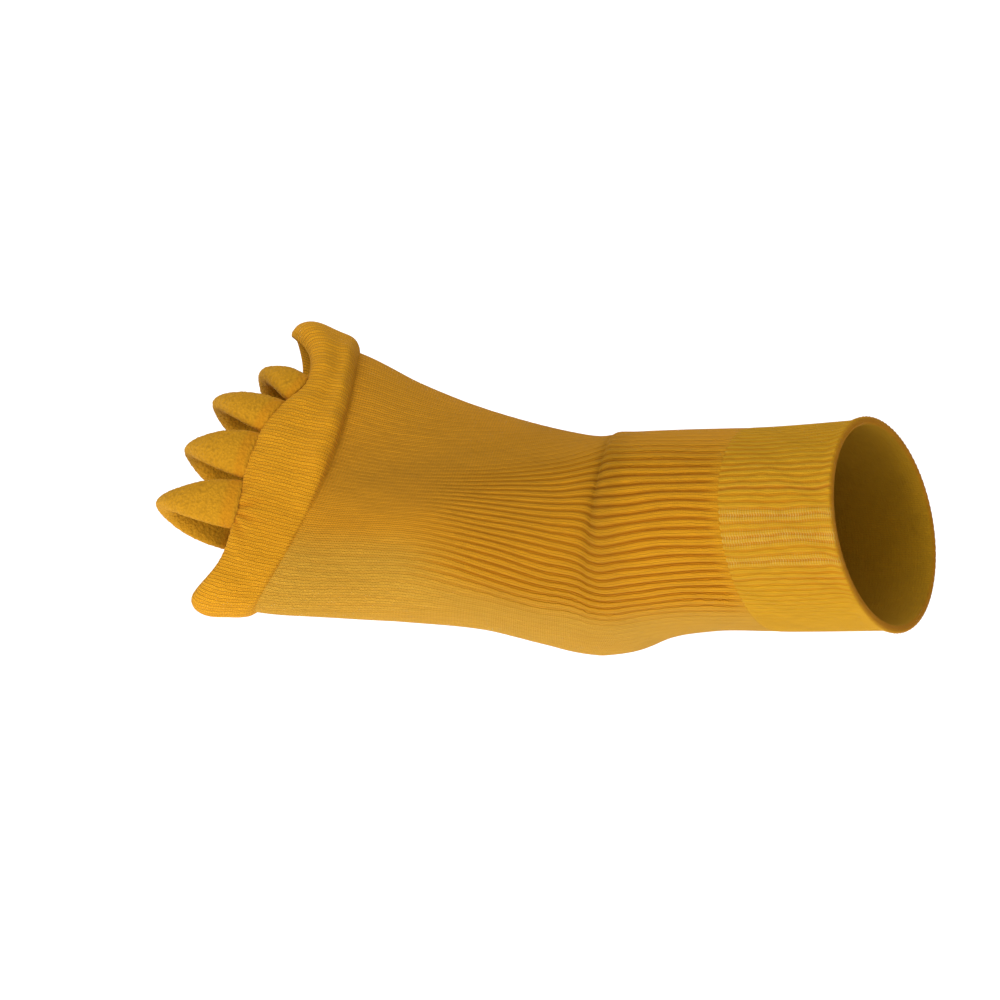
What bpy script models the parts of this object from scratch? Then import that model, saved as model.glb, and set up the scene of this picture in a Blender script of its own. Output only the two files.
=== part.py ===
"""Toe-spreader sock in its worn shape, built from lofted sections.

The sock is one knitted tube over foot, heel and ankle, with an elastic cuff at the
leg end, a padded band round the open front and four padded loops that part the toes.
The origin is the ankle centre. The toes point to -X, the leg rises towards +X, the
top of the foot faces +Z and the inner side of this right-foot sock faces -Y.
Lengths are metres and angles are degrees.
"""

import math
from collections import namedtuple

import bmesh
import bpy
import numpy as np

MM = 0.001

# Reach and direction of the two axes that meet at the ankle centre
FOOT_REACH = 139.8 * MM
LEG_REACH = 112.0 * MM
FOOT_RISE = 3.3
LEG_RISE = 24.0
TOE_ROLL = 15.0
FRONT_SLANT = 8.0
CUFF_SLANT = 2.5

# Outer half sizes of the tube at its front, heel and leg
BALL_HALF_WIDTH = 56.5 * MM
FRONT_HALF_HEIGHT = 19.0 * MM
HEEL_HALF_WIDTH = 34.5 * MM
INSTEP_RISE = 45.3 * MM
HEEL_DROP = 68.0 * MM
CUFF_HALF_WIDTH = 36.5 * MM
CUFF_HALF_DEPTH = 43.0 * MM
SIDE_SHIFT = 3.0 * MM
TOP_BOW = 9.0 * MM

# Knit
KNIT_WALL = 2.0 * MM
RIB_COUNT = 72
RIB_DEPTH = 0.8 * MM
CUFF_RIB_DEPTH = 0.35 * MM
CREASE_DEPTH = 1.2 * MM
CREASE_HALF_LENGTH = 5.0 * MM
CUFF_LENGTH = 47.0 * MM
CUFF_FLARE = 1.2 * MM
CUFF_FLARE_LENGTH = 6.0 * MM

# Padded band and toe loops
BAND_LENGTH = 24.0 * MM
BAND_SWELL_OUT = 4.0 * MM
BAND_SWELL_IN = 2.6 * MM
BAND_POINTS = 72
LOOP_HALF_WIDTH = 9.6 * MM
LOOP_REACH = 29.0 * MM
LOOP_HALF_THICKNESS = 4.0 * MM
LOOP_NOSE_HALF_WIDTH = 2.8 * MM
LOOP_SECTIONS = 10
LOOP_POINTS = 12
GAP = 0.3 * MM
LOOP_GAP = 0.4 * MM

# Where the ribs start and how far they take to come up. Places are shares of a
# reach, and sides are shares of the way round, which the top edge counts backwards.
Onset = namedtuple("Onset", "start fade")
RIBS_ON_FOREFOOT = Onset(-0.52, 0.17)
RIBS_FROM_INNER_SIDE = Onset(0.22, 0.06)
RIBS_FROM_TOP = Onset(-0.58, 0.07)
LOOP_SEAT = Onset(0.55, 0.45)

# Short fold across the front of the ankle
CREASE_SHARE = 0.46
CREASE_HALF_SHARE = 0.05
CREASE_PLACE = 0.05

BODY_STRIPS = 16
CUFF_STRIPS = 3
OUTLINE_POINTS = 720

# One row for each section of the tube. along is a share of the reach of its axis.
# spread, instep and heel run from 0 to 1 between two named half sizes: width from
# heel to ball or cuff, height above the axis up to INSTEP_RISE, and depth below it
# down to HEEL_DROP. turn runs from square to the foot axis to square to the leg
# axis. gather crowds the wales towards the top. flat is the exponent of the sole.
Section = namedtuple(
    "Section", "along spread instep heel roll slant turn side bow gather flat")
FOOT_SECTIONS = [
    Section(1.00, 1.00, 0.00, 0.00, 1.00, 1.00, 0.00, 0.0, 0.6, 0.90, 2.1),
    Section(0.80, 0.90, 0.12, 0.02, 1.00, 1.00, 0.00, -0.6, 1.0, 0.95, 2.3),
    Section(0.62, 0.65, 0.315, 0.08, 0.85, 0.75, 0.00, -1.0, 0.5, 1.00, 2.4),
    Section(0.45, 0.44, 0.54, 0.20, 0.70, 0.50, 0.00, -1.0, 0.1, 1.00, 2.4),
    Section(0.28, 0.26, 0.745, 0.43, 0.50, 0.25, 0.01, -0.7, 0.0, 0.80, 2.3),
    Section(0.14, 0.12, 0.886, 0.83, 0.25, 0.00, 0.05, -0.3, 0.0, 0.60, 2.1),
    Section(0.03, 0.00, 1.00, 1.00, 0.00, 0.00, 0.19, 0.2, 0.0, 0.35, 2.0),
]
LEG_SECTIONS = [
    Section(0.06, 0.25, 0.60, 0.88, 0.00, 0.00, 0.52, 0.7, 0.0, 0.12, 2.0),
    Section(0.18, 0.50, 0.00, 0.31, 0.00, 0.00, 0.82, 0.8, 0.0, 0.00, 2.0),
    Section(0.34, 0.50, 0.00, 0.00, 0.00, 0.00, 1.00, 0.6, 0.0, 0.00, 2.0),
    Section(0.65, 0.50, 0.00, 0.00, 0.00, 0.40, 1.11, 0.1, 0.0, 0.00, 2.0),
    Section(1.00, 1.00, 0.00, 0.00, 0.00, 1.00, 1.25, 0.0, 0.0, 0.00, 2.0),
]
GATHER = 0.095

# How far the front edge sets back over each toe, as a share of BAND_LENGTH.
# across runs from 0 on the inner side to 1 on the outer side.
Scallop = namedtuple("Scallop", "across back")
SCALLOPS = [
    Scallop(0.00, 0.00),
    Scallop(0.12, 0.17),
    Scallop(0.28, 0.08),
    Scallop(0.50, -0.10),
    Scallop(0.64, 0.00),
    Scallop(0.78, 0.33),
    Scallop(0.92, 0.20),
    Scallop(1.00, -0.15),
]

# Cross-section of the band, once round. back is a share of BAND_LENGTH from the
# front edge, pad a share of the swell outwards, or inwards where it is negative.
BandPoint = namedtuple("BandPoint", "back pad")
BAND_PROFILE = [
    BandPoint(0.00, 0.45),
    BandPoint(0.07, 0.85),
    BandPoint(0.30, 1.00),
    BandPoint(0.62, 0.85),
    BandPoint(0.86, 1.10),
    BandPoint(0.97, 0.85),
    BandPoint(1.00, 0.35),
    BandPoint(1.00, -0.85),
    BandPoint(0.50, -1.00),
    BandPoint(0.07, -0.85),
    BandPoint(0.00, -0.45),
]

# How the band swells round the foot: height is a share of BAND_SWELL_OUT, and dome
# runs from 0 for the profile above to 1 for one round hump.
Swell = namedtuple("Swell", "share height dome")
SWELLS = [
    Swell(0.00, 0.90, 0.2),
    Swell(0.14, 0.85, 0.4),
    Swell(0.235, 1.30, 0.9),
    Swell(0.34, 0.75, 0.2),
    Swell(0.45, 0.90, 0.0),
    Swell(0.56, 1.15, 0.1),
    Swell(0.63, 1.30, 0.6),
    Swell(0.71, 1.80, 1.0),
    Swell(0.80, 1.40, 0.7),
    Swell(0.90, 1.05, 0.3),
    Swell(1.00, 0.90, 0.2),
]
DOME_SKEW = 0.7

# One row for each toe loop, from the big toe outwards. share is its place round the
# front edge, width its width there and reach how far its nose stands ahead, both as
# shares of the first loop's, and fan how far it turns towards the outer side.
Loop = namedtuple("Loop", "share width reach fan")
LOOPS = [
    Loop(0.4150, 1.00, 1.00, -2.0),
    Loop(0.4925, 1.00, 0.845, 5.0),
    Loop(0.5595, 0.75, 0.81, 14.0),
    Loop(0.6130, 0.615, 0.586, 26.0),
]
LOOP_TAPER = 1.8

YELLOW_KNIT = (0.64, 0.36, 0.02)
YELLOW_CUFF = (0.68, 0.42, 0.03)
YELLOW_BAND = (0.68, 0.39, 0.025)
YELLOW_TERRY = (0.74, 0.47, 0.035)
KNIT_ROUGHNESS = 0.9


def blend(low, high, share):
    return low + (high - low) * share


def ease(value):
    """Smooth step from 0 to 1."""
    value = np.clip(value, 0.0, 1.0)
    return value * value * (3.0 - 2.0 * value)


def onset(value, step):
    """0 before a step's start, 1 once it has come up."""
    return ease((value - step.start) / step.fade)


def section_row(row, reach, end_half_width, end_half_height, end_slant):
    """One section in real sizes: place, half width, up, down and the rest."""
    return (
        row.along * reach,
        blend(HEEL_HALF_WIDTH, end_half_width, row.spread),
        blend(end_half_height, INSTEP_RISE, row.instep),
        blend(end_half_height, HEEL_DROP, row.heel),
        row.roll * TOE_ROLL,
        row.slant * end_slant,
        blend(-FOOT_RISE, LEG_RISE, row.turn),
        row.side * SIDE_SHIFT,
        row.bow * TOP_BOW,
        row.gather * GATHER,
        row.flat,
    )


def section_table():
    rows = [section_row(row, -FOOT_REACH, BALL_HALF_WIDTH, FRONT_HALF_HEIGHT, FRONT_SLANT)
            for row in FOOT_SECTIONS]
    rows += [section_row(row, LEG_REACH, CUFF_HALF_WIDTH, CUFF_HALF_DEPTH, CUFF_SLANT)
             for row in LEG_SECTIONS]
    return np.array(rows)


def follow(rows, places):
    """Values at places in a table, on a smooth curve through its rows."""
    places = np.atleast_1d(places)
    x, y = rows[:, 0], rows[:, 1:]
    slope = np.gradient(y, x, axis=0)
    row = np.clip(np.searchsorted(x, places, side="right") - 1, 0, len(x) - 2)
    span = (x[row + 1] - x[row])[:, None]
    t = (places - x[row])[:, None] / span
    return ((2 * t ** 3 - 3 * t ** 2 + 1) * y[row]
            + (t ** 3 - 2 * t ** 2 + t) * span * slope[row]
            + (3 * t ** 2 - 2 * t ** 3) * y[row + 1]
            + (t ** 3 - t ** 2) * span * slope[row + 1])


SECTION_TABLE = section_table()
SCALLOP_TABLE = np.array(SCALLOPS)
Girth = namedtuple("Girth", "half_width up down roll slant lean side bow gather flat")


def section(place):
    """The section at a distance from the ankle centre, negative towards the toes."""
    return Girth(*follow(SECTION_TABLE, place)[0])


def axis_point(place):
    rise = math.radians(FOOT_RISE if place < 0 else LEG_RISE)
    return np.array([math.cos(rise) * place, 0.0, math.sin(rise) * abs(place)])


def section_axes(girth):
    """Unit vectors of a section: towards the outer side, up, and along to the leg."""
    lean, roll, slant = np.radians([girth.lean, girth.roll, girth.slant])
    along = np.array([math.cos(lean), 0.0, math.sin(lean)])
    square = np.array([-math.sin(lean), 0.0, math.cos(lean)])
    side = np.array([0.0, 1.0, 0.0])
    outward = (side * math.cos(roll) + square * math.sin(roll)) * math.cos(slant)
    outward += along * math.sin(slant)
    upward = square * math.cos(roll) - side * math.sin(roll)
    return outward, upward, along


def outline(girth):
    """The section's edge from the sole's centre round by the inner side and the top."""
    turn = np.linspace(-0.5, 1.5, OUTLINE_POINTS + 1) * math.pi
    across, height = -np.cos(turn), np.sin(turn)
    power = np.where(height < 0.0, 2.0 / girth.flat, 1.0)
    x = girth.half_width * np.sign(across) * np.abs(across) ** power
    y = np.where(height > 0.0, girth.up, girth.down) * np.sign(height) * np.abs(height) ** power
    run = np.concatenate([[0.0], np.cumsum(np.hypot(np.diff(x), np.diff(y)))])
    return x, y, run


def crowd(wales, girth):
    """Share of the way round at which a wale lies, crowded towards the top."""
    return wales + girth.gather * np.sin(2.0 * math.pi * wales)


def wale_width(wales, girth):
    """Width of a wale against the mean, never above 1."""
    width = 1.0 + 2.0 * math.pi * girth.gather * np.cos(2.0 * math.pi * wales)
    return np.minimum(width, 1.0)


def ring(place, shares, offset=0.0, scallop=0.0):
    """Points round the tube at shares of the way round, each moved outwards."""
    girth = section(place)
    x_edge, y_edge, run = outline(girth)
    shares = np.asarray(shares, dtype=float) % 1.0
    step = 2.0 / OUTLINE_POINTS

    def at(share):
        distance = (share % 1.0) * run[-1]
        return np.interp(distance, run, x_edge), np.interp(distance, run, y_edge)

    x, y = at(shares)
    x_next, y_next = at(shares + step)
    x_last, y_last = at(shares - step)
    length = np.hypot(x_next - x_last, y_next - y_last)
    normal_x, normal_y = (y_last - y_next) / length, (x_next - x_last) / length
    across = np.clip(x / girth.half_width, -1.0, 1.0)
    top = np.where(y > 0.0, 1.0, 0.5)
    back = girth.bow * (1.0 - across ** 2) * top
    set_back = follow(SCALLOP_TABLE, (1.0 + across) / 2.0)[:, 0]
    back = back + scallop * BAND_LENGTH * top * set_back
    outward, upward, along = section_axes(girth)
    points = axis_point(place) + np.array([0.0, girth.side, 0.0])
    points = points + np.outer(x + normal_x * offset, outward)
    points = points + np.outer(y + normal_y * offset, upward)
    return points + np.outer(back, along)


def perimeter(place):
    return outline(section(place))[2][-1]


def even_stations(start, end, strips):
    """Places along the sock that are evenly spaced on the longer of sole and top."""
    places = np.linspace(start, end, 240)
    lines = np.array([ring(place, [0.0, 0.5]) for place in places])
    steps = np.linalg.norm(np.diff(lines, axis=0), axis=2).max(axis=1)
    travel = np.concatenate([[0.0], np.cumsum(steps)])
    return np.interp(np.linspace(0.0, travel[-1], strips + 1), travel, places)


def rib_mask(place, wales):
    """1 on the ribbed panel over the instep and the leg's front, 0 on the plain knit."""
    panel = onset(wales, RIBS_FROM_INNER_SIDE) * onset(-wales, RIBS_FROM_TOP)
    return panel * onset(place / FOOT_REACH, RIBS_ON_FOREFOOT)


def crease(place, wales):
    """Short fold across the front of the ankle."""
    from_fold = (place - CREASE_PLACE * LEG_REACH) / CREASE_HALF_LENGTH
    from_middle = (wales - CREASE_SHARE) / CREASE_HALF_SHARE
    return np.exp(-from_fold ** 2 - from_middle ** 2)


def knit_relief(place, wales, rib_depth):
    """Outward offset of each wale: every second one lies in a groove."""
    groove = (np.arange(len(wales)) % 2) * wale_width(wales, section(place))
    flare = CUFF_FLARE * ease((place - LEG_REACH + CUFF_FLARE_LENGTH) / CUFF_FLARE_LENGTH)
    return (flare - rib_depth * groove * rib_mask(place, wales)
            - CREASE_DEPTH * crease(place, wales))


def knit_tube(name, stations, rib_depth, material):
    """A tube with ribs outside and a plain inside, open at both ends."""
    outer_wales = np.arange(2 * RIB_COUNT) / (2.0 * RIB_COUNT)
    inner_wales = outer_wales[::2]
    mesh = bmesh.new()
    outer, inner = [], []
    for place in stations:
        girth = section(place)
        relief = knit_relief(place, outer_wales, rib_depth)
        points = ring(place, crowd(outer_wales, girth), relief)
        outer.append([mesh.verts.new(point) for point in points])
        lining = knit_relief(place, inner_wales, 0.0) - KNIT_WALL
        points = ring(place, crowd(inner_wales, girth), lining)
        inner.append([mesh.verts.new(point) for point in points])
    for wall in (outer, inner):
        for this, following in zip(wall, wall[1:]):
            bridge(mesh, this, following)
    for end in (0, -1):
        for k in range(RIB_COUNT):
            crest, groove, next_crest = (outer[end][(2 * k + i) % (2 * RIB_COUNT)] for i in range(3))
            under, next_under = inner[end][k], inner[end][(k + 1) % RIB_COUNT]
            mesh.faces.new((crest, groove, under))
            mesh.faces.new((groove, next_crest, next_under))
            mesh.faces.new((groove, next_under, under))
    return finish(name, mesh, material)


def bridge(mesh, ring_a, ring_b):
    count = len(ring_a)
    for i in range(count):
        j = (i + 1) % count
        mesh.faces.new((ring_a[i], ring_a[j], ring_b[j], ring_b[i]))


def swell(shares, back):
    """How far the band swells outwards at a share of its length back from the edge."""
    height, dome = follow(np.array(SWELLS), shares).T
    hump = math.sqrt(1.0 - (2.0 * back ** DOME_SKEW - 1.0) ** 2)
    return BAND_SWELL_OUT * height * blend(1.0, hump, dome)


def toe_band(material):
    """The padded band: one cross-section carried round the open front."""
    shares = np.arange(BAND_POINTS) / BAND_POINTS
    back_edge = BAND_LENGTH - GAP
    mesh = bmesh.new()
    rings = []
    for row in BAND_PROFILE:
        place = -FOOT_REACH + row.back * back_edge
        pad = swell(shares, row.back) if row.pad > 0.0 else BAND_SWELL_IN
        points = ring(place, shares, row.pad * pad, 1.0 - ease(row.back))
        rings.append([mesh.verts.new(point) for point in points])
    for this, following in zip(rings, rings[1:] + rings[:1]):
        bridge(mesh, this, following)
    return finish("toe_band", mesh, material)


def rim_points(share, side, across, height):
    """Points just ahead of the band's front edge, about one place on it."""
    shares = share + side * across / perimeter(-FOOT_REACH)
    points = ring(-FOOT_REACH, shares, height, 1.0)
    along = section_axes(section(-FOOT_REACH))[2]
    return points - along * LOOP_GAP


def close_end(mesh, end):
    """Close a loop's end in strips across its width, so that it follows the edge."""
    count = len(end)
    mesh.faces.new((end[0], end[1], end[-1]))
    for i in range(1, count // 2 - 1):
        mesh.faces.new((end[i], end[i + 1], end[count - i - 1], end[count - i]))
    half = count // 2
    mesh.faces.new((end[half - 1], end[half], end[half + 1]))


def toe_loop(name, loop, material):
    """A padded loop from the top of the band, between two toes, to its sole side."""
    outward, upward, along = section_axes(section(-FOOT_REACH))
    fan = math.radians(loop.fan)
    ahead = outward * math.sin(fan) - along * math.cos(fan)
    side = outward * math.cos(fan) + along * math.sin(fan)
    sole_share = (0.5 - loop.share) % 1.0
    around = np.arange(LOOP_POINTS) * 2.0 * math.pi / LOOP_POINTS
    zero = np.zeros(1)
    top = rim_points(loop.share, 1.0, zero, zero)[0]
    sole = rim_points(sole_share, -1.0, zero, zero)[0]
    middle = (top + sole) / 2.0
    mesh = bmesh.new()
    rings = []
    for angle in np.linspace(0.5, -0.5, LOOP_SECTIONS + 1) * math.pi:
        rise, reach = math.sin(angle), math.cos(angle)
        foot, direction, foot_share = (top, 1.0, loop.share) if rise > 0 else (sole, -1.0, sole_share)
        centre = middle + (foot - middle) * abs(rise) + ahead * loop.reach * LOOP_REACH * reach
        seat_width = loop.width * LOOP_HALF_WIDTH
        width = blend(LOOP_NOSE_HALF_WIDTH, seat_width, abs(rise) ** LOOP_TAPER)
        across = width * np.cos(around)
        height = LOOP_HALF_THICKNESS * np.sin(around)
        normal = upward * rise + ahead * reach
        free = centre + np.outer(across, side) + np.outer(height, normal)
        flat_free = foot + np.outer(across, side) + np.outer(height, direction * upward)
        seated = rim_points(foot_share, direction, across, height)
        hold = onset(abs(rise), LOOP_SEAT)
        points = free + (seated - flat_free) * hold
        rings.append([mesh.verts.new(point) for point in points])
    for this, following in zip(rings, rings[1:]):
        bridge(mesh, this, following)
    for end in (rings[0], rings[-1]):
        close_end(mesh, end)
    return finish(name, mesh, material)


def finish(name, mesh, material):
    """Make the object, with its faces pointing out."""
    bmesh.ops.recalc_face_normals(mesh, faces=mesh.faces)
    data = bpy.data.meshes.new(name)
    mesh.to_mesh(data)
    mesh.free()
    data.shade_smooth()
    data.materials.append(material)
    piece = bpy.data.objects.new(name, data)
    bpy.data.collections["toe_sock"].objects.link(piece)
    return piece


def yarn(name, colour):
    material = bpy.data.materials.new(name)
    material.use_nodes = True
    shader = material.node_tree.nodes["Principled BSDF"]
    shader.inputs["Base Color"].default_value = (*colour, 1.0)
    shader.inputs["Roughness"].default_value = KNIT_ROUGHNESS
    shader.inputs["Metallic"].default_value = 0.0
    return material


def main():
    for old in list(bpy.data.objects):
        bpy.data.objects.remove(old, do_unlink=True)
    collection = bpy.data.collections.new("toe_sock")
    bpy.context.scene.collection.children.link(collection)

    band_joint = -FOOT_REACH + BAND_LENGTH
    cuff_joint = LEG_REACH - CUFF_LENGTH
    body_stations = even_stations(band_joint, cuff_joint - GAP, BODY_STRIPS)
    knit_tube("sock_body", body_stations, RIB_DEPTH, yarn("body_knit", YELLOW_KNIT))
    cuff_stations = np.append(
        np.linspace(cuff_joint, LEG_REACH - CUFF_FLARE_LENGTH, CUFF_STRIPS), LEG_REACH)
    knit_tube("leg_cuff", cuff_stations, CUFF_RIB_DEPTH, yarn("cuff_knit", YELLOW_CUFF))
    toe_band(yarn("band_knit", YELLOW_BAND))
    terry = yarn("loop_terry", YELLOW_TERRY)
    for number, loop in enumerate(LOOPS, start=1):
        toe_loop(f"toe_divider_{number}", loop, terry)


main()
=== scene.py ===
"""Looks of a toe-spreader sock in its worn shape.

The pieces follow the frame's solids: a ribbed knitted body, a fine-ribbed elastic cuff,
a padded band round the open front and padded terry loops. Toes point to -X, the leg
rises towards +X, +Z is up and the inner side of this right-foot sock faces -Y. Lengths
are metres and angles are degrees.
"""

import math
from collections import namedtuple

import bpy
import numpy as np
from mathutils import Matrix, Vector, noise


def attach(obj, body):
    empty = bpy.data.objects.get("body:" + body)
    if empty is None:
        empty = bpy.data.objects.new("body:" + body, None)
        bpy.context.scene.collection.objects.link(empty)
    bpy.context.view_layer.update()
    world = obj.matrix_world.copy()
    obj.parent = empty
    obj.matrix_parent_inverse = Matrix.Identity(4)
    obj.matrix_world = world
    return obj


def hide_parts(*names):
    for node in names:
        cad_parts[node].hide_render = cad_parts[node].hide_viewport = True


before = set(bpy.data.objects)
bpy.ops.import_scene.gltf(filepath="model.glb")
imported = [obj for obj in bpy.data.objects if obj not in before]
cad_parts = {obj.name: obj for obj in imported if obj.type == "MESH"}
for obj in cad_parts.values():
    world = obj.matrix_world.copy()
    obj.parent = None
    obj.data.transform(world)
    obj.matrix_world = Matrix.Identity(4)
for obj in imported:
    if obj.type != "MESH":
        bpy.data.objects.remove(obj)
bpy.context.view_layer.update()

bl_info = {
    "name": "Toe-spreader sock",
    "version": (1, 0, 0),
    "blender": (4, 5, 0),
    "location": "3D View > Sidebar > Toe Sock",
    "description": "Builds a ribbed toe-spreader sock over its frame",
    "category": "Object",
}

MM = 0.001

# The two axes that meet at the ankle centre, and the half sizes along them
FOOT_REACH = 139.8 * MM
LEG_REACH = 112.0 * MM
FOOT_RISE = 3.3
LEG_RISE = 24.0
TOE_ROLL = 15.0
FRONT_SLANT = 8.0
CUFF_SLANT = 2.5
BALL_HALF_WIDTH = 56.5 * MM
FRONT_HALF_HEIGHT = 19.0 * MM
HEEL_HALF_WIDTH = 34.5 * MM
INSTEP_RISE = 45.3 * MM
HEEL_DROP = 68.0 * MM
CUFF_HALF_WIDTH = 36.5 * MM
CUFF_HALF_DEPTH = 43.0 * MM
SIDE_SHIFT = 3.0 * MM
TOP_BOW = 9.0 * MM
CORNER_BLEND = 4.0 * MM
OUTLINE_POINTS = 720
GATHER = 0.095

KNIT_WALL = 2.0 * MM
CUFF_LENGTH = 47.0 * MM
CUFF_FLARE = 1.2 * MM
CUFF_FLARE_LENGTH = 6.0 * MM
CREASE_HALF_LENGTH = 5.0 * MM
BAND_LENGTH = 24.0 * MM
BAND_SWELL_OUT = 4.0 * MM
BAND_SWELL_IN = 2.6 * MM
LOOP_HALF_THICKNESS = 4.0 * MM
LOOP_NOSE_HALF_WIDTH = 2.8 * MM
LOOP_TAPER = 1.8
LOOP_HALF_WIDTH = 9.6 * MM
LOOP_REACH = 29.0 * MM

# along is a share of an axis's reach; the rest run between two named half sizes,
# or are shares of a named angle or shift. turn leans a section from foot to leg.
Section = namedtuple(
    "Section", "along spread instep heel roll slant turn side bow gather flat")
FOOT_SECTIONS = [
    Section(1.00, 1.00, 0.00, 0.00, 1.00, 1.00, 0.00, 0.0, 0.6, 0.90, 2.1),
    Section(0.80, 0.90, 0.12, 0.02, 1.00, 1.00, 0.00, -0.6, 1.0, 0.95, 2.3),
    Section(0.62, 0.65, 0.315, 0.08, 0.85, 0.75, 0.00, -1.0, 0.5, 1.00, 2.4),
    Section(0.45, 0.44, 0.54, 0.20, 0.70, 0.50, 0.00, -1.0, 0.1, 1.00, 2.4),
    Section(0.28, 0.26, 0.745, 0.43, 0.50, 0.25, 0.01, -0.7, 0.0, 0.80, 2.3),
    Section(0.14, 0.12, 0.886, 0.83, 0.25, 0.00, 0.05, -0.3, 0.0, 0.60, 2.1),
    Section(0.03, 0.00, 1.00, 1.00, 0.00, 0.00, 0.19, 0.2, 0.0, 0.35, 2.0),
]
LEG_SECTIONS = [
    Section(0.06, 0.25, 0.60, 0.88, 0.00, 0.00, 0.52, 0.7, 0.0, 0.12, 2.0),
    Section(0.18, 0.50, 0.00, 0.31, 0.00, 0.00, 0.82, 0.8, 0.0, 0.00, 2.0),
    Section(0.34, 0.50, 0.00, 0.00, 0.00, 0.00, 1.00, 0.6, 0.0, 0.00, 2.0),
    Section(0.65, 0.50, 0.00, 0.00, 0.00, 0.40, 1.11, 0.1, 0.0, 0.00, 2.0),
    Section(1.00, 1.00, 0.00, 0.00, 0.00, 1.00, 1.25, 0.0, 0.0, 0.00, 2.0),
]

# How far the front edge sets back over each toe, as a share of the band's length
Scallop = namedtuple("Scallop", "across back")
SCALLOPS = [
    Scallop(0.00, 0.00), Scallop(0.12, 0.17), Scallop(0.28, 0.08), Scallop(0.50, -0.10),
    Scallop(0.64, 0.00), Scallop(0.78, 0.33), Scallop(0.92, 0.20), Scallop(1.00, -0.15),
]

# Cross-section of the band, once round
BandPoint = namedtuple("BandPoint", "back pad")
BAND_PROFILE = [
    BandPoint(0.00, 0.45), BandPoint(0.07, 0.85), BandPoint(0.30, 1.00),
    BandPoint(0.62, 0.85), BandPoint(0.86, 1.00), BandPoint(0.97, 0.80),
    BandPoint(1.00, 0.30), BandPoint(1.00, -0.85), BandPoint(0.50, -1.00),
    BandPoint(0.07, -0.85), BandPoint(0.00, -0.45),
]

# How the band swells round the foot: height is a share of BAND_SWELL_OUT, and dome
# runs from 0 for the profile above to 1 for one round hump.
Swell = namedtuple("Swell", "share height dome")
SWELLS = [
    Swell(0.00, 0.90, 0.2), Swell(0.14, 0.85, 0.4), Swell(0.235, 1.30, 0.9),
    Swell(0.34, 0.75, 0.2), Swell(0.45, 0.90, 0.0), Swell(0.56, 1.15, 0.1),
    Swell(0.63, 1.30, 0.6), Swell(0.71, 1.80, 1.0), Swell(0.80, 1.40, 0.7),
    Swell(0.90, 1.05, 0.3), Swell(1.00, 0.90, 0.2),
]
DOME_SKEW = 0.7

# One row for each toe loop, from the big toe outwards. width and reach are shares
# of the first loop's, and fan turns a loop towards the outer side.
Loop = namedtuple("Loop", "share width reach fan")
LOOPS = [
    Loop(0.4150, 1.00, 1.00, -2.0),
    Loop(0.4925, 1.00, 0.845, 5.0),
    Loop(0.5595, 0.75, 0.81, 14.0),
    Loop(0.6130, 0.615, 0.586, 26.0),
]

# Where relief comes up and over what length. Places are shares of a reach, and
# sides are shares of the way round, which the top edge counts backwards.
Onset = namedtuple("Onset", "start fade")
RIBS_ON_FOREFOOT = Onset(-0.54, 0.24)
RIBS_FROM_INNER_SIDE = Onset(0.22, 0.07)
RIBS_FROM_TOP = Onset(-0.58, 0.08)
# Painted sheen: the sole and the lower sides are painted paler in place of light on the fuzz; the
# next two give where the top, left without it, begins and ends.
PAINTED_SHEEN_FROM_INNER_SIDE = Onset(0.26, 0.09)
PAINTED_SHEEN_FROM_OUTER_SIDE = Onset(-0.88, 0.09)
BAND_THIN_TOWARDS_BACK = Onset(0.45, 0.50)
CUFF_RIBS_FROM_INNER_SIDE = Onset(0.24, 0.08)
LOOP_SEAT = Onset(0.55, 0.45)

# Short fold across the front of the ankle
CREASE_SHARE = 0.46
CREASE_HALF_SHARE = 0.05
CREASE_PLACE = 0.05

# Cloth that bridges the bend between foot and leg, beside the crease
BRIDGE_HEIGHT = 1.3 * MM
BRIDGE_PLACE = 2.0 * MM
BRIDGE_HALF_LENGTH = 8.0 * MM
BRIDGE_SHARE = 0.59
BRIDGE_HALF_SHARE = 0.08

# Knit, in counts round the sock and real lengths along it
RIB_COUNT = 72
WALES_PER_RIB = 3
CUFF_RIB_COUNT = 100
BAND_RIB_COUNT = 108
BAND_WALES_PER_RIB = 2
COLUMNS_PER_RIB = 8
CUFF_COLUMNS_PER_RIB = 6
BAND_COLUMNS_PER_RIB = 4
LIP_SHADE = 0.85
COURSE = 1.15 * MM
FINE_COURSE = 0.9 * MM

# Stretched places in the cuff where the elastic shows between the ribs: their
# share of the way round, half width and how deep the ribs open there
Ladder = namedtuple("Ladder", "share half_width depth thread")
LADDERS = [
    Ladder(0.420, 0.0090, 0.3, 0.9),
    Ladder(0.387, 0.0110, 0.35, 0.9),
    Ladder(0.350, 0.0080, 0.3, 0.8),
    Ladder(0.461, 0.0050, 0.7, 0.2),
    Ladder(0.495, 0.0040, 0.6, 0.1),
    Ladder(0.322, 0.0050, 0.3, 0.2),
]

# Camera, found from the photo
CAMERA_AZIMUTH = 12.0
CAMERA_ELEVATION = 58.0
CAMERA_DISTANCE = 1.108
CAMERA_LENS = 105.0
CAMERA_SHIFT_RIGHT = -39.9 * MM
CAMERA_SHIFT_UP = 15.2 * MM
FLOOR_DROP = 0.45


def linear(colour):
    """An sRGB hex colour as linear red, green and blue."""
    parts = [int(colour[i:i + 2], 16) / 255.0 for i in (1, 3, 5)]
    return tuple(c / 12.92 if c <= 0.04045 else ((c + 0.055) / 1.055) ** 2.4 for c in parts)


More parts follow.
